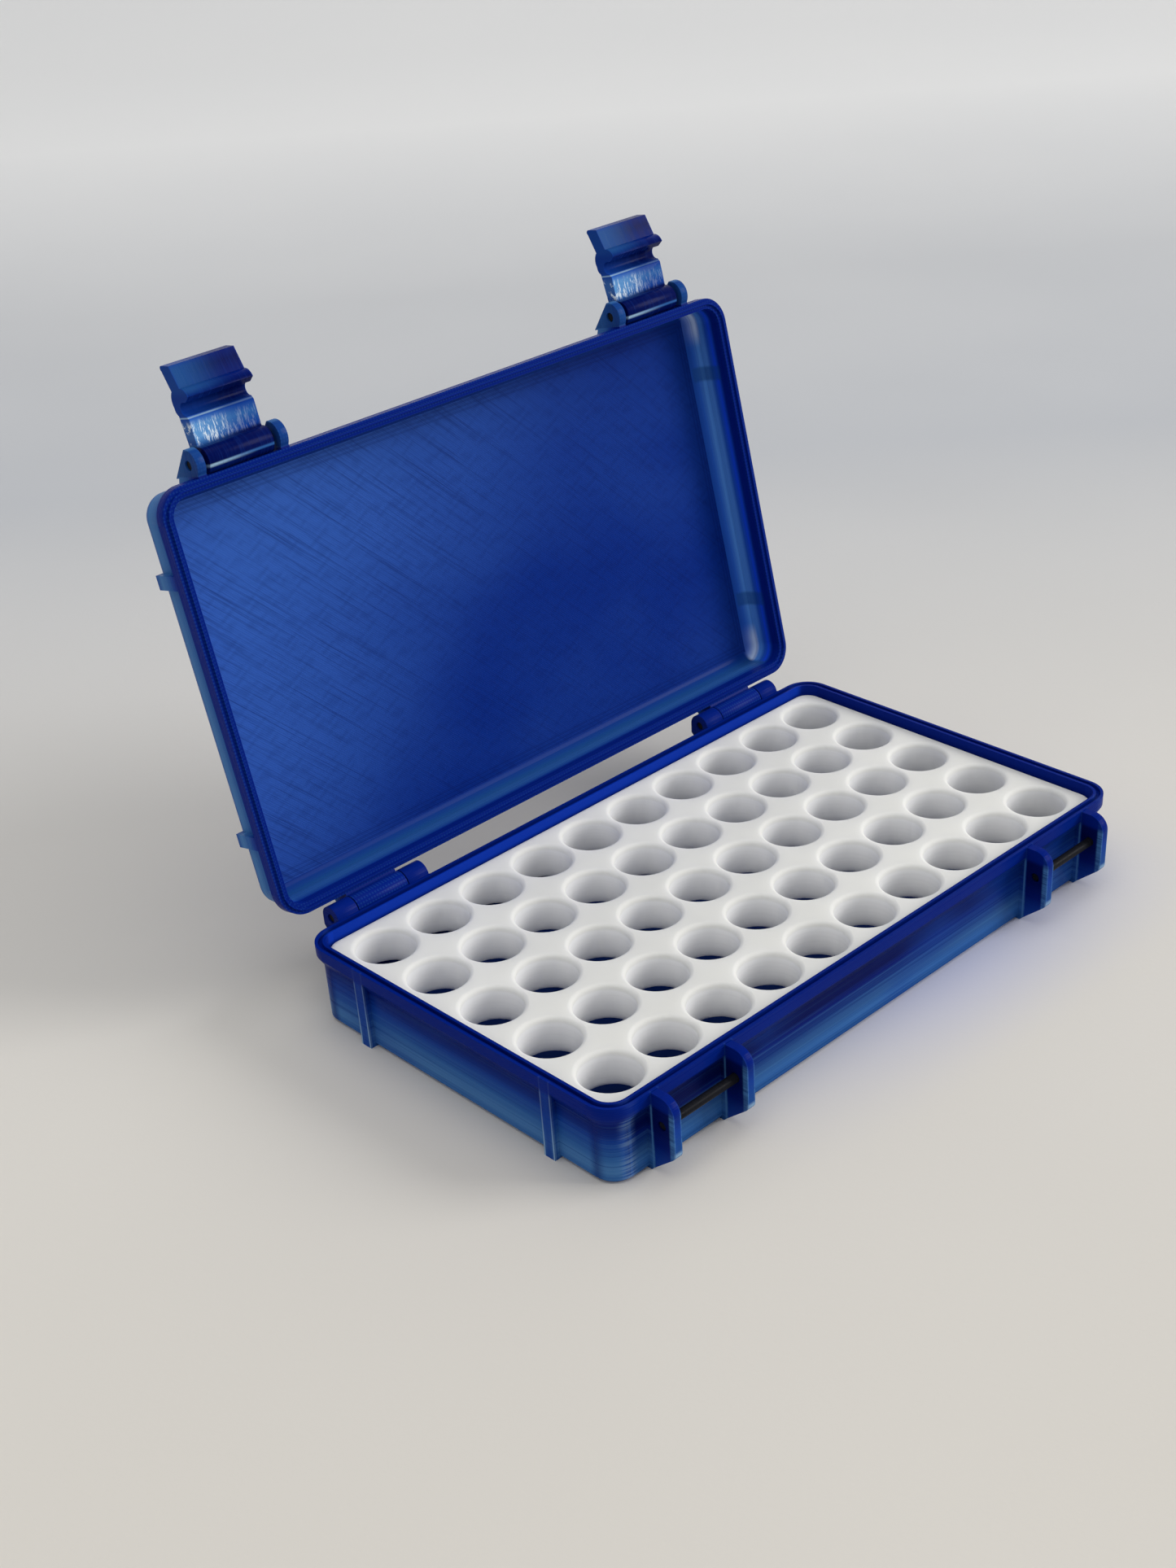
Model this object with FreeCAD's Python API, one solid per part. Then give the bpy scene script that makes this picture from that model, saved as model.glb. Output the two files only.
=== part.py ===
import FreeCAD, Part
import math
import os

from FreeCAD import Placement, Rotation, Vector

# Hinged storage box with a lift-out tube rack. Millimetres, +Z up.
# The origin is the centre of the base's bottom face. +X runs along the hinges, -Y is the
# latch side. The lid is built closed and then swung open about the hinge axis.

# Driving dimensions
rim_half_x = 79.7
rim_half_y = 45.9
rim_radius = 6.3
rim_width = 2.3
wall_inset = 1.35
base_height = 18.8
lid_height = 11.0
floor_thickness = 1.0
parting_gap = 0.3
lid_open_angle = 103.0

# Flange that thickens both shells along the parting line
flange_face = 2.6
flange_slope = 2.4
base_foot_chamfer = 0.8
lid_crown_radius = 3.0
lid_crown_inner_radius = 2.6

# Tongue on the lid and groove in the base
groove_inset = 0.65
groove_width = 1.0
groove_depth = 0.9
tongue_width = 0.4
tongue_height = 0.55

# Stiffening ribs on the short sides
rib_thickness = 3.0
rib_offset_y = 28.0

# Tube rack
well_columns = 10
well_rows = 5
well_pitch_x = 15.0
well_pitch_y = 16.76
well_diameter = 13.0
well_lip_radius = 0.95
rack_clearance = 0.4
rack_thickness = 8.0
rack_top_below_rim = 2.0
rack_corner_radius = 4.0
rack_foot_radius = 2.2
rack_foot_gap = 0.3
rack_foot_x = (-74.1, 0.0, 74.1)
rack_foot_y = (-40.3, 40.3)

# Latches, their pins and the ears that carry them
pin_radius = 1.0
pin_hole_radius = 1.05
pivot_bore_radius = 1.08
latch_station = 58.0
ear_thickness = 2.0
ear_gap = 18.2
ear_nose_radius = 3.2
base_ear_top_radius = 3.5
latch_pin_y = -48.4
latch_pin_z = 22.2
catch_pin_z = 12.0
base_ear_top_drop = 0.2
base_ear_low_z = 5.6
lid_ear_high_z = 22.4
pin_recess = 0.3
latch_width = 15.7
barrel_radius = 2.8
barrel_clearance = 0.3
notch_radius = 1.35
notch_offset = 0.9

# Hinges
hinge_station = 57.1
hinge_span = 25.2
hinge_below_parting = 0.9
hinge_end_knuckle = 5.5
hinge_knuckle_gap = 0.3
knuckle_radius = 2.75
knuckle_to_rim = 3.1
knuckle_back_height = 2.45

# Derived values
wall_half_x = rim_half_x - wall_inset
wall_half_y = rim_half_y - wall_inset
wall_radius = rim_radius - wall_inset
inner_half_x = rim_half_x - rim_width
inner_half_y = rim_half_y - rim_width
inner_radius = rim_radius - rim_width
lid_bottom = base_height + parting_gap
lid_top = lid_bottom + lid_height
hinge_y = rim_half_y + knuckle_to_rim
hinge_z = base_height + parting_gap / 2 - hinge_below_parting
rack_top = base_height - rack_top_below_rim
rack_bottom = rack_top - rack_thickness
ear_span = ear_gap + 2 * ear_thickness


def rounded_outline(half_x, half_y, radius, z):
    """Closed rounded rectangle centred on the Z axis."""
    centre_x = half_x - radius
    centre_y = half_y - radius
    edges = []
    corners = ((1, 1, 0), (-1, 1, 90), (-1, -1, 180), (1, -1, 270))
    points = []
    for sign_x, sign_y, start in corners:
        corner = []
        for turn in (0, 45, 90):
            angle = math.radians(start + turn)
            corner.append(Vector(sign_x * centre_x + radius * math.cos(angle),
                                 sign_y * centre_y + radius * math.sin(angle), z))
        points.append(corner)
    for index, corner in enumerate(points):
        edges.append(Part.Arc(*corner).toShape())
        following = points[(index + 1) % len(points)]
        edges.append(Part.LineSegment(corner[2], following[0]).toShape())
    return Part.Wire(edges)


def rounded_block(half_x, half_y, radius, low, high):
    face = Part.Face(rounded_outline(half_x, half_y, radius, low))
    return face.extrude(Vector(0, 0, high - low))


def inset_block(inset, low, high):
    """Rounded block whose sides lie a given distance inside the rim."""
    return rounded_block(rim_half_x - inset, rim_half_y - inset, rim_radius - inset, low, high)


def inset_ring(inset, width, low, high):
    return inset_block(inset, low, high).cut(inset_block(inset + width, low, high))


def flange(plane, direction):
    """Rim flange: a straight face from the parting plane, then a slope back to the wall."""
    face_end = plane + direction * flange_face
    slope_end = face_end + direction * flange_slope
    low, high = sorted((plane, face_end))
    straight = rounded_block(rim_half_x, rim_half_y, rim_radius, low, high)
    wide = rounded_outline(rim_half_x, rim_half_y, rim_radius, face_end)
    narrow = rounded_outline(wall_half_x, wall_half_y, wall_radius, slope_end)
    slope = Part.makeLoft([wide, narrow], True, True)
    return straight.fuse(slope)


def edges_at_height(shape, z):
    found = []
    for edge in shape.Edges:
        box = edge.BoundBox
        if abs(box.ZMin - z) < 1e-4 and abs(box.ZMax - z) < 1e-4:
            found.append(edge)
    return found


def box_between(low, high):
    size = Vector(*high) - Vector(*low)
    return Part.makeBox(size.x, size.y, size.z, Vector(*low))


def side_ribs(low, high):
    """Two ribs on each short side, flush with the rim face."""
    ribs = []
    for side in (-1, 1):
        for row in (-1, 1):
            middle = row * rib_offset_y
            near_x, far_x = sorted((side * (inner_half_x + 0.2), side * rim_half_x))
            rib = box_between((near_x, middle - rib_thickness / 2, low),
                              (far_x, middle + rib_thickness / 2, high))
            ribs.append(rib)
    return ribs


def profile_prism(outline, x_low, width):
    """Extrude a closed YZ outline along X. Each item is a point, or a through-point pair for an arc."""
    edges = []
    start = outline[0]
    previous = start
    for item in outline[1:] + [start]:
        if isinstance(item[0], tuple):
            middle, end = item
            arc = Part.Arc(Vector(x_low, *previous), Vector(x_low, *middle), Vector(x_low, *end))
            edges.append(arc.toShape())
            previous = end
        else:
            edges.append(Part.LineSegment(Vector(x_low, *previous), Vector(x_low, *item)).toShape())
            previous = item
    return Part.Face(Part.Wire(edges)).extrude(Vector(width, 0, 0))


def x_cylinder(radius, x_low, length, y, z):
    return Part.makeCylinder(radius, length, Vector(x_low, y, z), Vector(1, 0, 0))


def on_circle(centre_y, centre_z, radius, degrees):
    angle = math.radians(degrees)
    return (centre_y + radius * math.cos(angle), centre_z + radius * math.sin(angle))


def base_ear(x_low):
    """Catch ear: level with the rim, rounded at the top, with a sloping underside above a rib."""
    root_y = -(inner_half_y + 0.2)
    rib_y = -rim_half_y
    nose_y = latch_pin_y - ear_nose_radius
    top_z = base_height - base_ear_top_drop
    centre_y = nose_y + base_ear_top_radius
    centre_z = top_z - base_ear_top_radius
    outline = [
        (root_y, base_foot_chamfer),
        (root_y, top_z),
        (centre_y, top_z),
        (on_circle(centre_y, centre_z, base_ear_top_radius, 135), (nose_y, centre_z)),
        (nose_y, base_ear_low_z + 1.0),
        ((nose_y + 0.1, base_ear_low_z + 0.35), (nose_y + 0.6, base_ear_low_z - 0.4)),
        (rib_y, base_foot_chamfer),
        (rib_y + base_foot_chamfer, 0.0),
        (root_y, 0.0),
    ]
    ear = profile_prism(outline, x_low, ear_thickness)
    hole = x_cylinder(pin_hole_radius, x_low - 1, ear_thickness + 2, latch_pin_y, catch_pin_z)
    return ear.cut(hole)


def lid_ear(x_low):
    """Latch ear: round about the latch pin, with a sloping back that runs into a rib."""
    root_y = -(inner_half_y + 0.2)
    rib_y = -rim_half_y
    nose_y = latch_pin_y - ear_nose_radius
    rib_top = lid_top - lid_crown_radius
    outline = [
        (root_y, lid_bottom + 0.2),
        on_circle(latch_pin_y, latch_pin_z, ear_nose_radius, -52),
        (on_circle(latch_pin_y, latch_pin_z, ear_nose_radius, -120), (nose_y, latch_pin_z)),
        (nose_y, lid_ear_high_z),
        (rib_y, lid_ear_high_z + rib_y - nose_y),
        (rib_y, rib_top),
        (root_y, rib_top + 1.0),
    ]
    ear = profile_prism(outline, x_low, ear_thickness)
    hole = x_cylinder(pin_hole_radius, x_low - 1, ear_thickness + 2, latch_pin_y, latch_pin_z)
    return ear.cut(hole)


def ear_starts():
    starts = []
    for side in (-1, 1):
        middle = side * latch_station
        starts.append(middle - ear_span / 2)
        starts.append(middle + ear_gap / 2)
    return starts


def hinge_knuckles(direction, spans, rib_end):
    """Knuckles with a straight back and a slope into the rear wall. direction: -1 base, +1 lid."""
    root_y = inner_half_y + 0.2
    back_y = hinge_y + knuckle_radius
    slope_start = hinge_z + direction * knuckle_back_height
    slope_end = slope_start + direction * (back_y - rim_half_y)
    plane = base_height if direction < 0 else lid_bottom
    tangent_z = hinge_z + direction * 0.15
    outline = [
        (root_y, plane),
        (rim_half_y, plane),
        (hinge_y, tangent_z),
        (back_y, tangent_z),
        (back_y, slope_start),
        (rim_half_y, slope_end),
        (rim_half_y, rib_end),
        (root_y, rib_end),
    ]
    solids = []
    for x_low, width in spans:
        arm = profile_prism(outline, x_low, width)
        barrel = x_cylinder(knuckle_radius, x_low, width, hinge_y, hinge_z)
        solids.append(arm.fuse(barrel))
    return solids


def hinge_spans(part):
    spans = []
    for side in (-1, 1):
        low = side * hinge_station - hinge_span / 2
        inner = low + hinge_end_knuckle + hinge_knuckle_gap
        inner_width = hinge_span - 2 * (hinge_end_knuckle + hinge_knuckle_gap)
        if part == "lid":
            spans.append((inner, inner_width))
        else:
            spans.append((low, hinge_end_knuckle))
            spans.append((low + hinge_span - hinge_end_knuckle, hinge_end_knuckle))
    return spans


def fuse_all(solids):
    return solids[0].multiFuse(solids[1:])


def make_base_shell():
    wall = rounded_block(wall_half_x, wall_half_y, wall_radius, 0, base_height)
    wall = wall.makeChamfer(base_foot_chamfer, edges_at_height(wall, 0))
    solids = [wall, flange(base_height, -1)]
    solids += side_ribs(0, base_height - flange_face)
    solids += [base_ear(x_low) for x_low in ear_starts()]
    solids += hinge_knuckles(-1, hinge_spans("base"), 0)
    shell = fuse_all(solids)
    cavity = rounded_block(inner_half_x, inner_half_y, inner_radius, floor_thickness, base_height + 10)
    groove = inset_ring(groove_inset, groove_width, base_height - groove_depth, base_height + 1)
    shell = shell.cut(cavity).cut(groove)
    for x_low, width in hinge_spans("base"):
        shell = shell.cut(x_cylinder(pin_hole_radius, x_low - 1, width + 2, hinge_y, hinge_z))
    return shell.removeSplitter()


def make_lid_shell():
    wall = rounded_block(wall_half_x, wall_half_y, wall_radius, lid_bottom, lid_top)
    wall = wall.makeFillet(lid_crown_radius, edges_at_height(wall, lid_top))
    solids = [wall, flange(lid_bottom, 1)]
    solids += side_ribs(lid_bottom + flange_face, lid_top - lid_crown_radius / 2)
    solids += [lid_ear(x_low) for x_low in ear_starts()]
    solids += hinge_knuckles(1, hinge_spans("lid"), lid_top - lid_crown_radius)
    shell = fuse_all(solids)
    ceiling = lid_top - floor_thickness
    cavity = rounded_block(inner_half_x, inner_half_y, inner_radius, lid_bottom - 10, ceiling)
    cavity = cavity.makeFillet(lid_crown_inner_radius, edges_at_height(cavity, ceiling))
    shell = shell.cut(cavity)
    for side in (-1, 1):
        relief_low = side * latch_station - ear_gap / 2
        relief = barrel_radius + barrel_clearance
        shell = shell.cut(x_cylinder(relief, relief_low, ear_gap, latch_pin_y, latch_pin_z))
    tongue_inset = groove_inset + (groove_width - tongue_width) / 2
    tongue = inset_ring(tongue_inset, tongue_width, lid_bottom - tongue_height, lid_bottom + 0.5)
    shell = shell.fuse(tongue)
    for x_low, width in hinge_spans("lid"):
        shell = shell.cut(x_cylinder(pivot_bore_radius, x_low - 1, width + 2, hinge_y, hinge_z))
    return shell.removeSplitter()


def make_tube_rack():
    rack = rounded_block(inner_half_x - rack_clearance, inner_half_y - rack_clearance,
                         rack_corner_radius, rack_bottom, rack_top)
    for column in range(well_columns):
        for row in range(well_rows):
            x = (column - (well_columns - 1) / 2) * well_pitch_x
            y = (row - (well_rows - 1) / 2) * well_pitch_y
            well = Part.makeCylinder(well_diameter / 2, rack_thickness + 2, Vector(x, y, rack_bottom - 1))
            rack = rack.cut(well)
    rack = rack.makeFillet(well_lip_radius, edges_at_height(rack, rack_top))
    foot_z = floor_thickness + rack_foot_gap
    for x in rack_foot_x:
        for y in rack_foot_y:
            foot = Part.makeCylinder(rack_foot_radius, rack_bottom - foot_z + 0.5, Vector(x, y, foot_z))
            rack = rack.fuse(foot)
    return rack.removeSplitter()


def latch_geometry():
    """Reach from the pivot to the notch, and the swing from straight out to hooked on the catch."""
    drop = latch_pin_z - catch_pin_z
    reach = math.sqrt(drop ** 2 - notch_offset ** 2)
    swing = 90 + math.degrees(math.asin(notch_offset / drop))
    return reach, swing


def make_latch(side):
    """Latch lever drawn straight out along -Y from its pivot barrel, hook side down."""
    reach, _ = latch_geometry()
    mouth_near = reach - notch_radius
    mouth_far = reach + notch_radius

    def at(along, out):
        return (latch_pin_y - along, latch_pin_z + out)

    outline = [
        at(0.6, -2.2),
        at(2.9, 0.2),
        at(mouth_near - 0.7, 0.33),
        at(mouth_near, notch_offset),
        (at(reach, notch_offset + notch_radius), at(mouth_far, notch_offset)),
        at(mouth_far, -0.2),
        at(mouth_far + 1.0, -1.7),
        (at(mouth_far + 2.1, -1.0), at(mouth_far + 2.7, 0.6)),
        at(mouth_far + 7.1, 2.2),
        at(mouth_far + 7.3, 4.9),
        (at(mouth_far + 6.9, 5.4), at(mouth_far + 6.3, 5.2)),
        at(mouth_far + 2.2, 3.7),
        (at(mouth_far + 1.4, 4.3), at(reach + 0.4, 4.4)),
        (at(reach - 0.6, 4.2), at(reach - 1.2, 3.6)),
        at(3.0, 3.0),
        at(0.2, barrel_radius - 0.05),
    ]
    x_low = side * latch_station - latch_width / 2
    arm = profile_prism(outline, x_low, latch_width)
    barrel = x_cylinder(barrel_radius, x_low, latch_width, latch_pin_y, latch_pin_z)
    bore = x_cylinder(pivot_bore_radius, x_low - 1, latch_width + 2, latch_pin_y, latch_pin_z)
    return arm.fuse(barrel).cut(bore).removeSplitter()


def make_pin(middle_x, span, y, z):
    length = span - 2 * pin_recess
    pin = x_cylinder(pin_radius, middle_x - length / 2, length, y, z)
    ends = [edge for edge in pin.Edges if edge.Length > 1 and len(edge.Vertexes) == 1]
    return pin.makeChamfer(0.2, ends)


def swing_open(shape):
    opened = shape.copy()
    opened.rotate(Vector(0, hinge_y, hinge_z), Vector(1, 0, 0), -lid_open_angle)
    return opened


def build_parts():
    parts = {
        "base_shell": make_base_shell(),
        "tube_rack": make_tube_rack(),
        "lid_shell": swing_open(make_lid_shell()),
    }
    for name, side in (("left", -1), ("right", 1)):
        latch_x = side * latch_station
        latch_pin = make_pin(latch_x, ear_span, latch_pin_y, latch_pin_z)
        parts["latch_" + name] = swing_open(make_latch(side))
        parts["latch_pin_" + name] = swing_open(latch_pin)
        parts["catch_pin_" + name] = make_pin(latch_x, ear_span, latch_pin_y, catch_pin_z)
        parts["hinge_pin_" + name] = make_pin(side * hinge_station, hinge_span, hinge_y, hinge_z)
    return parts


def main():
    os.makedirs("parts", exist_ok=True)
    for name, shape in build_parts().items():
        solid = shape.Solids[0]
        if len(shape.Solids) != 1 or not solid.isValid():
            raise RuntimeError(name + " is not one valid solid")
        solid.exportStep("parts/" + name + ".step")
        box = solid.BoundBox
        print(name, "volume", round(solid.Volume, 1),
              "box", [round(v, 2) for v in (box.XMin, box.YMin, box.ZMin, box.XMax, box.YMax, box.ZMax)])
    pivot = Part.Vertex(Vector(0, latch_pin_y, latch_pin_z))
    pivot = swing_open(pivot).Point
    print("hinge axis", hinge_y, hinge_z, "latch pivot", round(pivot.y, 4), round(pivot.z, 4),
          "latch swing", round(latch_geometry()[1], 3))


main()
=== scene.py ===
import math

import bpy
from mathutils import Matrix, Vector

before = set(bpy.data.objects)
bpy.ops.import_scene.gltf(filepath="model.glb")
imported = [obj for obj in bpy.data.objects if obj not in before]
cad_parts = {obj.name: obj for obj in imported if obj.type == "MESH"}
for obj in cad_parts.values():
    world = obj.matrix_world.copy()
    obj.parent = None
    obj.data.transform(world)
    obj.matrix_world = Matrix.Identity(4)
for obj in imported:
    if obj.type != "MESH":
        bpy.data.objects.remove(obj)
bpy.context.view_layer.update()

# Sizes in metres, in the row frame. Heights that pick out a face sit just inside it.
LID_OPEN_ANGLE = math.radians(103)
HINGE_POINT = (0.0, 0.0490, 0.01805)
LID_RIM_Z = 0.0191
LID_DEPTH = 0.011
LID_FLANGE_Z = (0.0213, 0.0225)
LID_INSIDE_Z = (0.0280, 0.0293)
LID_TOP_Z = 0.0299
LID_FILLET = (0.0026, 0.0022)
BASE_RIM_Z = 0.0188
BASE_FLANGE_Z = (0.0150, 0.0163)
INNER_HALF = (0.0774, 0.0436)
INNER_RADIUS = 0.0040
INTO_WALL = 0.0003
WALL_Y = 0.04455
RIB_Y = 0.028
RIB_EDGES_Y = (0.0267, 0.0293)
RIB_START_X = 0.0788
EAR_START_Y = 0.0462
EAR_FRONT_Y = 0.0511
EAR_FACES_X = (0.0469, 0.0489, 0.0671, 0.0691)
EAR_FOOT_Z = 0.0062
LINE_REACH = 0.0004
END_BLEND_X = (0.0715, 0.0760)
CORNER_SHADE_X = (0.0760, 0.0770)
CORNER_SHADE_Y = 0.0398
SEAM_X = 0.0742
SEAM_START_Y = (0.0405, 0.0420)
LID_END_BLEND_X = (0.0740, 0.0752)
LID_RIB_BLEND_X = (0.0750, 0.0758)
RACK_MOUTH_Z = (0.0152, 0.0163)
RACK_BORE_TOP_Z = 0.0158
LATCH_PIN_Y = 0.0484
LATCH_CENTRE_X = 0.058
LATCH_INSIDE_HALF = 0.0077
LATCH_BEHIND_PIN = 0.003
LATCH_LENGTH = 0.022

# Spacings of the printed lines, in metres
LAYER_PITCH = 0.00038
STRAND_PITCH = 0.00043
WEAVE_PITCH = 0.0026
WEAVE_SWING = 0.0005
WEAVE_WAVES = 1500
LOOP_PITCH = 0.0009
LOOP_BAND = 0.0050
STITCH_PITCH = 0.00075
PRINT_BUMP = 0.00006

# Finishes, with the colours used for painted highlights and painted light and shade, as linear
# colour
NAVY = (0.0006, 0.0045, 0.075)
DEEP_BLUE = (0.0010, 0.010, 0.14)
RIM_BLUE = (0.0010, 0.014, 0.20)
MID_BLUE = (0.006, 0.045, 0.29)
BRIGHT_BLUE = (0.020, 0.105, 0.50)
CYAN_BLUE = (0.028, 0.120, 0.37)
LIGHT_CYAN = (0.065, 0.195, 0.45)
PALE_CYAN = (0.36, 0.56, 0.74)
EAR_CYAN = (0.012, 0.070, 0.25)
VIVID_BLUE = (0.010, 0.075, 0.75)
STRIP_CYAN = (0.085, 0.275, 0.72)
STEEL_BLUE = (0.030, 0.105, 0.29)
SLATE_BLUE = (0.010, 0.045, 0.20)
ARM_CYAN = (0.13, 0.34, 0.68)
WHITE_GLINT = (0.80, 0.90, 0.98)
LID_PANEL = (0.0020, 0.022, 0.21)
LID_PANEL_LIGHT = (0.038, 0.125, 0.50)
FLOOR_BLUE = (0.002, 0.016, 0.11)
RACK_WHITE = (0.75, 0.745, 0.705)
RACK_WHITE_LIGHT = (0.80, 0.795, 0.755)
BORE_WHITE = (0.95, 0.95, 0.94)
BORE_GREY = (0.80, 0.80, 0.80)
PIN_BLACK = (0.0025, 0.0025, 0.004)
PIN_GREY = (0.012, 0.013, 0.018)
STAGE_PALE = (0.88, 0.88, 0.88)
STAGE_WARM = (1.0, 0.98, 0.95)
STAGE_GLOW = (0.45, 0.50, 0.78)
# Painted light and shade on the floor, from near to far: warm, a darker shadow band, then paler
# up the backdrop
STAGE_TONES = [
    (0.0, (0.71, 0.675, 0.615)), (0.22, (0.70, 0.675, 0.635)), (0.42, (0.53, 0.545, 0.575)),
    (0.60, (0.59, 0.60, 0.62)), (0.88, STAGE_PALE), (1.0, STAGE_PALE)]
SUNLIGHT = (1.0, 0.985, 0.96)
SKYLIGHT = (0.98, 0.99, 1.0)

# The floor's painted light and shade: the way they run, from where and how far, and the painted
# glow's centre and reach
STAGE_AWAY = (0.668, 0.745)
STAGE_BEFORE = 0.2
STAGE_LENGTH = 1.2
GLOW_X = (0.025, 0.085)
GLOW_Y = (-0.045, 0.032)

# The photograph's viewpoint
CAMERA_PLACE = (-0.28175, -0.26970, 0.25219)
CAMERA_RIGHT = (0.71504, -0.69644, -0.06072)
CAMERA_DOWN = (-0.42718, -0.36652, -0.82655)
CAMERA_FORWARD = (0.55339, 0.61696, -0.55958)


class Graph:
    """A material's node tree with short calls for the nodes used here."""

    def __init__(self, name):
        self.material = bpy.data.materials.new(name)
        self.material.use_nodes = True
        self.tree = self.material.node_tree
        self.shader = self.tree.nodes["Principled BSDF"]
        self.place = self.node("ShaderNodeTexCoord").outputs["Object"]

    def node(self, kind, inputs=(), **settings):
        made = self.tree.nodes.new(kind)
        for name, value in settings.items():
            setattr(made, name, value)
        for key, value in dict(inputs).items():
            self.put(made.inputs[key], value)
        return made

    def put(self, socket, value):
        if isinstance(value, bpy.types.NodeSocket):
            self.tree.links.new(value, socket)
        elif socket.type == "RGBA":
            socket.default_value = tuple(value) + (1.0,)
        else:
            socket.default_value = value

    def set(self, name, value):
        self.put(self.shader.inputs[name], value)

    def math(self, operation, a, b=0.0):
        return self.node("ShaderNodeMath", {0: a, 1: b}, operation=operation).outputs[0]

    def size(self, value):
        return self.math("ABSOLUTE", value)

    def times(self, first, *others):
        for other in others:
            first = self.math("MULTIPLY", first, other)
        return first

    def split(self, vector):
        return self.node("ShaderNodeSeparateXYZ", {0: vector}).outputs

    def join(self, x, y, z):
        return self.node("ShaderNodeCombineXYZ", {0: x, 1: y, 2: z}).outputs[0]

    def span(self, value, low, high, out_low=0.0, out_high=1.0):
        """Smooth ramp of value from low to high."""
        inputs = {"Value": value, "From Min": low, "From Max": high,
                  "To Min": out_low, "To Max": out_high}
        made = self.node("ShaderNodeMapRange", inputs, interpolation_type="SMOOTHSTEP")
        return made.outputs[0]

    def near(self, value, centre, reach):
        """1 at the centre, falling to 0 at the reach on either side."""
        gap = self.size(self.math("SUBTRACT", value, centre))
        return self.span(gap, 0.0, reach, 1.0, 0.0)

    def between(self, value, low, high):
        """1 where the value is inside the limits, 0 outside."""
        above = self.math("GREATER_THAN", value, low)
        return self.times(above, self.math("LESS_THAN", value, high))

    def mix(self, factor, a, b):
        made = self.node("ShaderNodeMix", data_type="RGBA")
        for index, value in ((0, factor), (6, a), (7, b)):
            self.put(made.inputs[index], value)
        return made.outputs[2]

    def ramp(self, value, stops):
        made = self.node("ShaderNodeValToRGB", {0: value})
        elements = made.color_ramp.elements
        while len(elements) < len(stops):
            elements.new(0.5)
        for element, (position, colour) in zip(elements, stops):
            element.position = position
            element.color = tuple(colour) + (1.0,)
        return made.outputs[0]

    def noise(self, vector, scale, detail=2.0, roughness=0.5):
        """Noise from 0 to 1. A scale of three numbers stretches it along an axis."""
        if isinstance(scale, tuple):
            inputs = {0: vector, 1: scale}
            vector = self.node("ShaderNodeVectorMath", inputs, operation="MULTIPLY").outputs[0]
            scale = 1.0
        inputs = {"Vector": vector, "Scale": scale, "Detail": detail, "Roughness": roughness}
        return self.node("ShaderNodeTexNoise", inputs).outputs[0]

    def stripes(self, value, pitch):
        """0 to 1 cosine stripes across a length in metres."""
        wave = self.math("COSINE", self.times(value, 2 * math.pi / pitch))
        return self.math("ADD", self.times(wave, 0.5), 0.5)

    def bump(self, height, distance, strength):
        inputs = {"Height": height, "Distance": distance, "Strength": strength}
        return self.node("ShaderNodeBump", inputs).outputs[0]


def outside_mask(graph, x, y):
    """1 outside the cavity's walls, 0 inside them."""
    squares = []
    for place, half in ((x, INNER_HALF[0]), (y, INNER_HALF[1])):
        over = graph.math("SUBTRACT", graph.size(place), half - INNER_RADIUS)
        squares.append(graph.math("POWER", graph.math("MAXIMUM", over, 0.0), 2.0))
    distance = graph.math("SQRT", graph.math("ADD", *squares))
    return graph.math("GREATER_THAN", distance, INNER_RADIUS + INTO_WALL)


def layer_height(graph, place, z):
    """Printed layer lines, uneven from layer to layer and along each layer."""
    lines = graph.stripes(z, LAYER_PITCH)
    uneven = graph.noise(place, (9, 9, 1700), 3.0, 0.7)
    broad = graph.noise(place, (6, 6, 700))
    height = graph.math("ADD", graph.times(lines, 0.35), uneven)
    return graph.math("ADD", height, graph.times(broad, 0.6)), uneven, broad


def base_wall_colour(graph, across, z, uneven, broad):
    """Painted light and shade: lighter near the floor and darker near the rim, with the end
    walls lighter than the front.
    """
    wander = graph.times(graph.math("SUBTRACT", broad, 0.5), 0.003)
    level = graph.span(graph.math("ADD", z, wander), 0.0, BASE_RIM_Z)
    ends = graph.ramp(level, [
        (0.0, CYAN_BLUE), (0.06, LIGHT_CYAN), (0.25, CYAN_BLUE), (0.55, MID_BLUE),
        (0.78, DEEP_BLUE), (1.0, RIM_BLUE)])
    front = graph.ramp(level, [
        (0.0, EAR_CYAN), (0.05, CYAN_BLUE), (0.18, STEEL_BLUE), (0.36, SLATE_BLUE),
        (0.54, DEEP_BLUE), (0.68, NAVY), (1.0, NAVY)])
    walls = graph.mix(graph.span(across, *END_BLEND_X), front, ends)
    patches = graph.noise(graph.place, (22, 22, 40))
    walls = graph.mix(graph.span(patches, 0.48, 0.72, 0.0, 0.6), walls, MID_BLUE)
    # Layer streaks, lightened as painted light that is strongest near the floor
    fade = graph.span(z, 0.001, 0.014, 0.45, 0.10)
    walls = graph.mix(graph.times(graph.span(uneven, 0.50, 0.68), fade), walls, LIGHT_CYAN)
    return graph.mix(graph.span(uneven, 0.32, 0.48, 0.35, 0.0), walls, DEEP_BLUE)


def add_base_ribs(graph, walls, across, along, z):
    """Ribs at the ends: darker than the wall, with a painted highlight line down each edge,
    stronger near the floor.
    """
    on_rib = graph.times(graph.near(along, RIB_Y, 0.0026),
                         graph.math("GREATER_THAN", across, RIB_START_X))
    walls = graph.mix(graph.times(on_rib, 0.8), walls, MID_BLUE)
    # Painted highlights: a light line down each rib edge, stronger near the floor
    edge = graph.math("MAXIMUM", *[graph.near(along, rib_y, 0.0003) for rib_y in RIB_EDGES_Y])
    edge = graph.times(edge, graph.math("GREATER_THAN", across, RIB_START_X + 0.0005),
                       graph.span(z, 0.001, 0.012, 0.75, 0.25))
    return graph.mix(edge, walls, PALE_CYAN)


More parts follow.
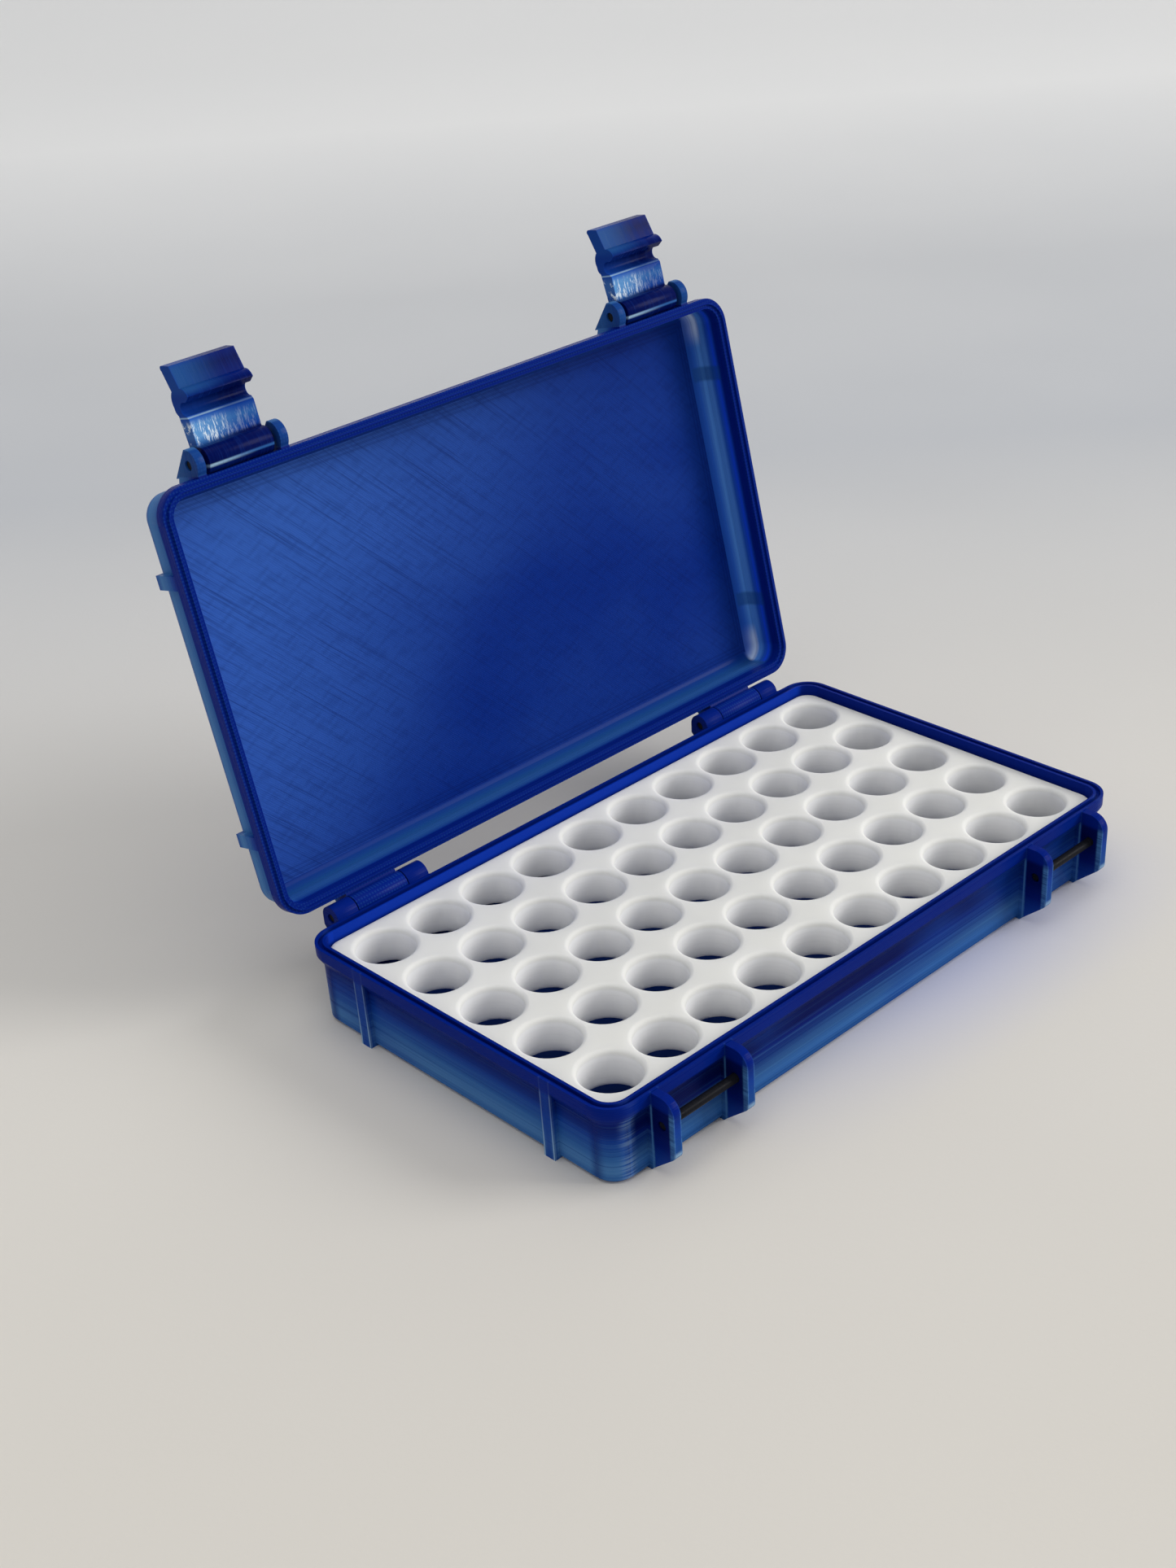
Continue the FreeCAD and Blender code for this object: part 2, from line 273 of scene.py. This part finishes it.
def add_base_ears(graph, walls, across, y, z, uneven):
    """Ears: dark cheeks and a lighter nose, both painted lighter low and darker high as light
    and shade, with painted highlights at the nose's foot, along the crease near the wall and on
    the front edges.
    """
    # Painted shade: the cheeks are lighter low and darker towards the rim
    cheek = graph.ramp(graph.span(z, 0.0, BASE_RIM_Z), [
        (0.0, MID_BLUE), (0.30, DEEP_BLUE), (0.60, NAVY), (1.0, NAVY)])
    walls = graph.mix(graph.math("LESS_THAN", y, -EAR_START_Y), walls, cheek)
    # Painted light: the nose is lighter than the cheeks, darker towards the rim
    nose = graph.span(y, -EAR_FRONT_Y, -EAR_FRONT_Y - LINE_REACH)
    nose_colour = graph.ramp(graph.span(z, 0.004, BASE_RIM_Z), [
        (0.0, EAR_CYAN), (0.55, MID_BLUE), (1.0, DEEP_BLUE)])
    walls = graph.mix(nose, walls, nose_colour)
    # Painted highlights: a light mark at the nose's foot, a line along the crease and the front
    # edges
    foot_highlight = graph.times(nose, graph.near(z, EAR_FOOT_Z, 0.0011), 0.6)
    walls = graph.mix(foot_highlight, walls, PALE_CYAN)
    at_face = graph.near(across, EAR_FACES_X[0], LINE_REACH)
    for face_x in EAR_FACES_X[1:]:
        at_face = graph.math("MAXIMUM", at_face, graph.near(across, face_x, LINE_REACH))
    crease_highlight = graph.times(at_face, graph.near(y, -WALL_Y - 0.0012, LINE_REACH), 0.8)
    walls = graph.mix(crease_highlight, walls, LIGHT_CYAN)
    glint = graph.times(at_face, graph.span(y, -EAR_FRONT_Y + 0.0010, -EAR_FRONT_Y + 0.0004),
                        graph.span(uneven, 0.35, 0.65, 0.35, 0.9))
    return graph.mix(glint, walls, LIGHT_CYAN)


def add_corner_seam_shade_and_highlight(graph, walls, across, along, z, uneven):
    """Where each printed layer starts: a painted shade band beside each corner, and a streaky
    light band at the corners that is partly the print's seam and partly a painted highlight.
    """
    # Painted shade: a dark band on the end wall beside each corner
    side_shade = graph.times(graph.near(along, CORNER_SHADE_Y, 0.0022),
                            graph.span(across, *CORNER_SHADE_X), 0.6)
    walls = graph.mix(side_shade, walls, DEEP_BLUE)
    # The seam's streaky band, lightened as a painted highlight
    bands = graph.noise(graph.place, (1100, 300, 25), 2.0, 0.6)
    seam_and_highlight = graph.mix(graph.span(bands, 0.35, 0.60), MID_BLUE, BRIGHT_BLUE)
    seam_and_highlight = graph.mix(graph.span(uneven, 0.42, 0.60, 0.0, 0.45), seam_and_highlight, PALE_CYAN)
    front_band = graph.times(graph.near(across, SEAM_X, 0.0024),
                             graph.span(along, *SEAM_START_Y),
                             graph.span(z, 0.0, 0.017, 0.8, 0.5))
    return graph.mix(front_band, walls, seam_and_highlight)


def make_base_material():
    graph = Graph("printed_blue_base")
    x, y, z = graph.split(graph.place)
    across, along = graph.size(x), graph.size(y)
    height, uneven, broad = layer_height(graph, graph.place, z)
    walls = base_wall_colour(graph, across, z, uneven, broad)
    walls = add_base_ribs(graph, walls, across, along, z)
    walls = add_base_ears(graph, walls, across, y, z, uneven)
    walls = add_corner_seam_shade_and_highlight(graph, walls, across, along, z, uneven)
    walls = graph.mix(graph.span(z, *BASE_FLANGE_Z, 0.0, 0.85), walls, RIM_BLUE)

    # Painted light: the inner floor is lighter towards its end at negative x
    floor = graph.mix(graph.span(x, -0.077, -0.058, 1.0, 0.0), FLOOR_BLUE, MID_BLUE)
    inner = graph.mix(graph.span(z, BASE_FLANGE_Z[0], 0.0165), floor, RIM_BLUE)
    # Painted highlight: a bright line along the inside of the back rim
    back_rim_highlight = graph.times(graph.span(y, 0.0430, INNER_HALF[1]),
                           graph.span(z, 0.0160, 0.0170), 0.35)
    inner = graph.mix(back_rim_highlight, inner, VIVID_BLUE)
    graph.set("Base Color", graph.mix(outside_mask(graph, x, y), inner, walls))
    graph.set("Roughness", graph.span(uneven, 0.3, 0.8, 0.26, 0.42))
    graph.set("Specular IOR Level", 0.025)
    graph.set("Normal", graph.bump(height, PRINT_BUMP, 0.7))
    return graph.material


def lid_place(graph):
    """Object coordinates turned back to the closed lid."""
    inputs = {"Vector": graph.place, "Center": HINGE_POINT, "Angle": LID_OPEN_ANGLE}
    return graph.node("ShaderNodeVectorRotate", inputs, rotation_type="X_AXIS").outputs[0]


def lid_panel(graph, place, x, y):
    """The lid's flat faces: diagonal strands, a faint weave and loops along the edge, on a tone
    painted lighter towards the corner at negative x and y as a sheen.
    """
    diagonal = graph.times(graph.math("SUBTRACT", x, y), math.sqrt(0.5))
    cross = graph.times(graph.math("ADD", x, y), math.sqrt(0.5))
    fine = graph.join(graph.times(diagonal, 1500), graph.times(cross, 26), 0.0)
    strands = graph.noise(fine, 1.0, 4.0, 0.8)

    swing = graph.times(graph.math("SINE", graph.times(cross, WEAVE_WAVES)), WEAVE_SWING)
    row = graph.math("ADD", graph.math("ADD", y, swing), graph.times(x, 0.30))
    patch = graph.noise(place, (260, 260, 1))
    weave = graph.times(graph.stripes(row, WEAVE_PITCH), graph.span(patch, 0.35, 0.65))

    cloud = graph.span(graph.noise(place, (14, 20, 1)), 0.35, 0.65)
    # Painted sheen: lighter towards the corner at negative x and y
    sheen_gradient = graph.span(graph.math("SUBTRACT", graph.times(x, -1.0), y), -0.02, 0.10)
    tone = graph.math("ADD", graph.times(cloud, 0.14), graph.times(sheen_gradient, 0.86))
    colour = graph.mix(graph.math("MINIMUM", tone, 1.0), LID_PANEL, LID_PANEL_LIGHT)
    shade = graph.mix(0.55, colour, NAVY)
    hatch = graph.times(graph.span(strands, 0.46, 0.70), graph.span(sheen_gradient, 0.0, 0.6, 0.5, 0.85))
    colour = graph.mix(hatch, colour, shade)
    colour = graph.mix(graph.times(weave, 0.30), colour, shade)

    edge_x = graph.math("SUBTRACT", INNER_HALF[0], graph.size(x))
    edge_y = graph.math("SUBTRACT", INNER_HALF[1], graph.size(y))
    edge = graph.math("MINIMUM", edge_x, edge_y)
    in_band = graph.math("LESS_THAN", edge, LOOP_BAND)
    loops = graph.times(in_band, graph.stripes(edge, LOOP_PITCH), 0.45)
    colour = graph.mix(loops, colour, shade)
    ridges = graph.stripes(diagonal, STRAND_PITCH)
    return colour, graph.math("ADD", graph.times(ridges, 0.4), strands), strands


def lid_inner_colour(graph, level, across, along):
    """The cavity's walls: painted light and shade by height, pale strips at the ends as painted
    highlights, crossed by the ribs that show through.
    """
    # Painted light and shade by height, with pale painted highlight strips on the end walls
    ends = graph.ramp(level, [
        (0.0, DEEP_BLUE), (0.12, MID_BLUE), (0.28, VIVID_BLUE), (0.46, BRIGHT_BLUE),
        (0.62, STRIP_CYAN), (0.86, STRIP_CYAN), (0.95, BRIGHT_BLUE), (1.0, MID_BLUE)])
    # Painted highlight: white shine near the ends of the end walls
    shine = graph.times(graph.span(along, 0.034, 0.039), graph.near(level, 0.84, 0.16), 0.6)
    ends = graph.mix(shine, ends, WHITE_GLINT)
    sides = graph.ramp(level, [
        (0.0, DEEP_BLUE), (0.15, MID_BLUE), (0.45, CYAN_BLUE), (0.65, CYAN_BLUE),
        (0.85, EAR_CYAN), (1.0, LID_PANEL)])
    inner = graph.mix(graph.span(across, *LID_END_BLEND_X), sides, ends)
    ribs = graph.times(graph.span(graph.near(along, RIB_Y, 0.0028), 0.15, 0.6),
                       graph.span(across, *LID_RIB_BLEND_X), 0.6)
    return graph.mix(ribs, inner, EAR_CYAN)


def make_lid_material():
    graph = Graph("printed_blue_lid")
    place = lid_place(graph)
    x, y, z = graph.split(place)
    across, along = graph.size(x), graph.size(y)
    height, uneven, _ = layer_height(graph, place, z)
    level = graph.span(z, LID_RIM_Z, LID_RIM_Z + LID_DEPTH)
    # Painted light and shade on the outer walls, by height
    outer = graph.ramp(level, [
        (0.0, RIM_BLUE), (0.26, MID_BLUE), (0.45, CYAN_BLUE), (0.80, LIGHT_CYAN),
        (1.0, MID_BLUE)])
    inner = lid_inner_colour(graph, level, across, along)
    walls = graph.mix(outside_mask(graph, x, y), inner, outer)
    walls = graph.mix(graph.span(uneven, 0.45, 0.75, 0.0, 0.30), walls, MID_BLUE)
    walls = graph.mix(graph.span(z, *LID_FLANGE_Z), RIM_BLUE, walls)
    on_ear = graph.times(graph.math("LESS_THAN", y, -EAR_START_Y),
                         graph.span(uneven, 0.3, 0.7, 0.55, 0.85))
    walls = graph.mix(on_ear, walls, EAR_CYAN)
    # Painted highlight on the ears' front
    nose = graph.times(graph.span(y, -EAR_FRONT_Y, -EAR_FRONT_Y - 0.0005), 0.6)
    walls = graph.mix(nose, walls, LIGHT_CYAN)
    stitches = graph.times(graph.stripes(x, STITCH_PITCH), graph.stripes(y, STITCH_PITCH))
    on_rim = graph.times(graph.span(z, LID_RIM_Z + 0.0002, LID_RIM_Z + 0.0006, 1.0, 0.0),
                         graph.span(stitches, 0.2, 0.6), 0.18)
    walls = graph.mix(on_rim, walls, CYAN_BLUE)

    panel, panel_height, strands = lid_panel(graph, place, x, y)
    flat_x = graph.math("LESS_THAN", across, INNER_HALF[0] - LID_FILLET[0])
    flat_y = graph.math("LESS_THAN", along, INNER_HALF[1] - LID_FILLET[1])
    on_face = graph.math("MAXIMUM", graph.between(z, *LID_INSIDE_Z),
                         graph.math("GREATER_THAN", z, LID_TOP_Z))
    is_panel = graph.times(on_face, flat_x, flat_y)
    graph.set("Base Color", graph.mix(is_panel, walls, panel))
    rough_wall = graph.span(uneven, 0.3, 0.8, 0.22, 0.40)
    rough_panel = graph.span(strands, 0.3, 0.8, 0.32, 0.50)
    graph.set("Roughness", graph.mix(is_panel, rough_wall, rough_panel))
    graph.set("Specular IOR Level", 0.03)
    height = graph.mix(is_panel, height, panel_height)
    graph.set("Normal", graph.bump(height, PRINT_BUMP, 0.7))
    return graph.material


def make_latch_material():
    """The barrel's line, the arm's glints and the ledge are painted highlights in the colour,
    and each lever is painted lighter on one side and darker on the other.
    """
    graph = Graph("printed_blue_latch")
    place = lid_place(graph)
    x, y, _ = graph.split(place)
    centre = graph.times(graph.math("SIGN", x), LATCH_CENTRE_X)
    sideways = graph.math("SUBTRACT", x, centre)
    # Painted light and shade: lighter towards negative x on each lever, darker towards positive
    # x
    side = graph.span(sideways, -0.0075, 0.0045)
    streaks = graph.noise(place, (1400, 60, 60), 3.0, 0.7)
    sparkle = graph.noise(place, (1900, 330, 330), 3.0, 0.8)
    reach = graph.math("SUBTRACT", graph.times(y, -1.0), LATCH_PIN_Y)
    along = graph.math("DIVIDE", graph.math("ADD", reach, LATCH_BEHIND_PIN), LATCH_LENGTH)
    # Lit copy of the colours along the lever, with painted highlights on the barrel's line and
    # the arm
    lit_colour = graph.ramp(along, [
        (0.0, MID_BLUE), (0.07, DEEP_BLUE), (0.088, PALE_CYAN), (0.098, PALE_CYAN),
        (0.11, NAVY), (0.25, NAVY), (0.28, CYAN_BLUE), (0.34, ARM_CYAN), (0.45, ARM_CYAN),
        (0.51, BRIGHT_BLUE), (0.56, MID_BLUE), (0.70, DEEP_BLUE), (0.76, EAR_CYAN),
        (0.95, EAR_CYAN), (1.0, MID_BLUE)])
    # Shaded copy of the same colours
    shaded_colour = graph.ramp(along, [
        (0.0, DEEP_BLUE), (0.08, NAVY), (0.092, CYAN_BLUE), (0.10, CYAN_BLUE),
        (0.115, NAVY), (0.27, NAVY), (0.30, MID_BLUE), (0.42, CYAN_BLUE), (0.50, MID_BLUE),
        (0.56, NAVY), (0.72, NAVY), (0.78, DEEP_BLUE), (0.90, NAVY), (1.0, DEEP_BLUE)])
    colour = graph.mix(side, lit_colour, shaded_colour)
    end_face = graph.times(graph.math("GREATER_THAN", graph.size(sideways), LATCH_INSIDE_HALF),
                           graph.math("GREATER_THAN", along, 0.28), 0.7)
    colour = graph.mix(end_face, colour, MID_BLUE)
    colour = graph.mix(graph.span(streaks, 0.45, 0.75, 0.0, 0.22), colour, MID_BLUE)
    on_arm = graph.times(graph.span(along, 0.26, 0.31), graph.span(along, 0.42, 0.50, 1.0, 0.0))
    # Painted highlights: white glints on the arm
    glints = graph.times(graph.span(sparkle, 0.50, 0.60),
                         graph.span(side, 0.2, 1.0, 1.0, 0.15), on_arm, 0.9)
    colour = graph.mix(glints, colour, WHITE_GLINT)
    # Painted highlight along the ledge below the notch
    ledge = graph.times(graph.near(along, 0.52, 0.012), graph.span(side, 0.3, 0.9, 0.75, 0.2))
    graph.set("Base Color", graph.mix(ledge, colour, PALE_CYAN))
    graph.set("Roughness", graph.span(streaks, 0.3, 0.8, 0.18, 0.34))
    graph.set("Specular IOR Level", 0.025)
    surface = graph.math("ADD", streaks, graph.times(sparkle, 0.5))
    graph.set("Normal", graph.bump(surface, 0.00005, 0.6))
    return graph.material


def make_rack_material():
    graph = Graph("printed_white_rack")
    _, _, z = graph.split(graph.place)
    grain = graph.noise(graph.place, 1800, 3.0, 0.6)
    tone = graph.noise(graph.place, 30, 3.0)
    layers = graph.noise(graph.place, (10, 10, 2200), 2.0, 0.6)
    plate = graph.mix(graph.span(tone, 0.3, 0.7), RACK_WHITE, RACK_WHITE_LIGHT)
    # Painted light: the wells are a lighter white than the top, which lightens their shade
    bore = graph.mix(graph.span(layers, 0.4, 0.8, 0.0, 0.25), BORE_WHITE, BORE_GREY)
    graph.set("Base Color", graph.mix(graph.span(z, *RACK_MOUTH_Z, 1.0, 0.0), plate, bore))
    graph.set("Roughness", graph.span(grain, 0.3, 0.7, 0.62, 0.78))
    graph.set("Subsurface Weight", 0.85)
    graph.set("Subsurface Radius", (1.0, 1.0, 1.0))
    graph.set("Subsurface Scale", 0.005)
    below = graph.math("LESS_THAN", z, RACK_BORE_TOP_Z)
    surface = graph.math("ADD", graph.times(grain, 0.4), graph.times(layers, below))
    graph.set("Normal", graph.bump(surface, 0.00003, 0.5))
    return graph.material


def make_pin_material():
    graph = Graph("dark_pin")
    striations = graph.noise(graph.place, (3000, 150, 150), 2.0, 0.6)
    graph.set("Base Color", graph.mix(striations, PIN_BLACK, PIN_GREY))
    graph.set("Roughness", graph.span(striations, 0.3, 0.7, 0.32, 0.50))
    graph.set("Specular IOR Level", 0.05)
    graph.set("Normal", graph.bump(striations, 0.00003, 0.6))
    return graph.material


def make_floor_material():
    """Painted light and shade that run away from the viewpoint, with a darker shadow band, and
    a painted bluish glow.
    """
    graph = Graph("studio_floor")
    fine = graph.noise(graph.place, 900, 3.0)
    broad = graph.noise(graph.place, 6)
    x, y, z = graph.split(graph.place)
    away = graph.math("ADD", graph.times(x, STAGE_AWAY[0]), graph.times(y, STAGE_AWAY[1]))
    distance = graph.math("DIVIDE", graph.math("ADD", away, STAGE_BEFORE), STAGE_LENGTH)
    # Painted light and shade along the floor: a darker shadow band, then paler up the backdrop
    colour = graph.ramp(distance, STAGE_TONES)
    colour = graph.mix(graph.span(broad, 0.3, 0.7, 0.0, 0.06), colour, STAGE_WARM)
    glow = graph.times(graph.near(x, *GLOW_X), graph.near(y, *GLOW_Y),
                       graph.math("LESS_THAN", z, 0.001), 0.5)
    graph.set("Base Color", graph.mix(glow, colour, STAGE_GLOW))
    graph.set("Roughness", 0.6)
    graph.set("Normal", graph.bump(fine, 0.0001, 0.2))
    return graph.material


MATERIAL_OF = {
    "base_shell": make_base_material(),
    "lid_shell": make_lid_material(),
    "tube_rack": make_rack_material(),
}
latch_material = make_latch_material()
pin_material = make_pin_material()
for hand in ("left", "right"):
    MATERIAL_OF["latch_" + hand] = latch_material
    for kind in ("latch_pin_", "catch_pin_", "hinge_pin_"):
        MATERIAL_OF[kind + hand] = pin_material

EDGE_WIDTH = {"base_shell": 0.00018, "lid_shell": 0.00018,
              "latch_left": 0.0002, "latch_right": 0.0002}


def finish_node(name, node):
    """Give a CAD node its finish, and soften its edges as a print does."""
    node.data.materials.clear()
    node.data.materials.append(MATERIAL_OF[name])
    if name in EDGE_WIDTH:
        weld = node.modifiers.new("weld", "WELD")
        weld.merge_threshold = 1e-6
        bevel = node.modifiers.new("edges", "BEVEL")
        bevel.width = EDGE_WIDTH[name]
        bevel.segments = 2
        bevel.limit_method = "ANGLE"
        bevel.angle_limit = math.radians(35)
        bevel.harden_normals = False


for node_name, node_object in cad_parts.items():
    finish_node(node_name, node_object)


def make_floor():
    """A pale floor that curves up into a backdrop behind the object."""
    front, reach, rise, curve, half_width = -2.2, 1.6, 1.6, 0.55, 3.0
    steps = 24
    profile = [(front, 0.0), (reach - curve, 0.0)]
    for step in range(1, steps + 1):
        angle = math.pi / 2 * step / steps
        along = reach - curve + curve * math.sin(angle)
        profile.append((along, curve - curve * math.cos(angle)))
    profile.append((reach, rise))
    turn = Matrix.Rotation(math.radians(-46), 4, "Z")
    verts = []
    for along, up in profile:
        for across in (-half_width, half_width):
            verts.append(turn @ Vector((across, along, up)))
    faces = [(2 * i, 2 * i + 1, 2 * i + 3, 2 * i + 2) for i in range(len(profile) - 1)]
    mesh = bpy.data.meshes.new("studio_floor")
    mesh.from_pydata(verts, [], faces)
    for polygon in mesh.polygons:
        polygon.use_smooth = True
    mesh.materials.append(make_floor_material())
    floor = bpy.data.objects.new("studio_floor", mesh)
    bpy.context.collection.objects.link(floor)


def place_lamp(data, colour, place, aim):
    data.color = colour
    lamp = bpy.data.objects.new(data.name, data)
    bpy.context.collection.objects.link(lamp)
    lamp.location = place
    lamp.rotation_euler = aim.to_track_quat("-Z", "Y").to_euler()


def make_panel_light(name, place, target, side, watts, colour):
    data = bpy.data.lights.new(name, "AREA")
    data.shape = "SQUARE"
    data.size = side
    data.energy = watts
    place_lamp(data, colour, place, Vector(target) - Vector(place))


def make_sun(name, direction, angle, strength, colour):
    data = bpy.data.lights.new(name, "SUN")
    data.angle = angle
    data.energy = strength
    place_lamp(data, colour, direction, -Vector(direction))


def make_camera():
    """The viewpoint: right, up and backward axes of the camera as columns."""
    data = bpy.data.cameras.new("camera")
    data.sensor_fit = "VERTICAL"
    data.sensor_height = 36.0
    data.lens = 47.95
    data.shift_x = -0.0041
    data.shift_y = 0.1274
    data.clip_start = 0.01
    camera = bpy.data.objects.new("camera", data)
    bpy.context.collection.objects.link(camera)
    rows = (Vector(CAMERA_RIGHT), -Vector(CAMERA_DOWN), -Vector(CAMERA_FORWARD))
    axes = Matrix(rows).transposed().to_4x4()
    camera.matrix_world = Matrix.Translation(CAMERA_PLACE) @ axes
    bpy.context.scene.camera = camera


def make_world():
    world = bpy.data.worlds.new("studio")
    world.use_nodes = True
    background = world.node_tree.nodes["Background"]
    background.inputs["Color"].default_value = SKYLIGHT + (1.0,)
    background.inputs["Strength"].default_value = 0.50
    bpy.context.scene.world = world


make_floor()
make_world()
make_camera()
make_panel_light("key", (1.15, -1.05, 0.80), (0.0, 0.0, 0.03), 0.8, 6.0, SUNLIGHT)
make_sun("daylight", (1.15, -1.05, 0.77), math.radians(26), 1.05, SUNLIGHT)
make_panel_light("top", (-0.10, -0.10, 1.40), (0.0, 0.0, 0.0), 1.2, 5.0, (1.0, 1.0, 1.0))
bpy.context.scene.view_settings.view_transform = "Standard"
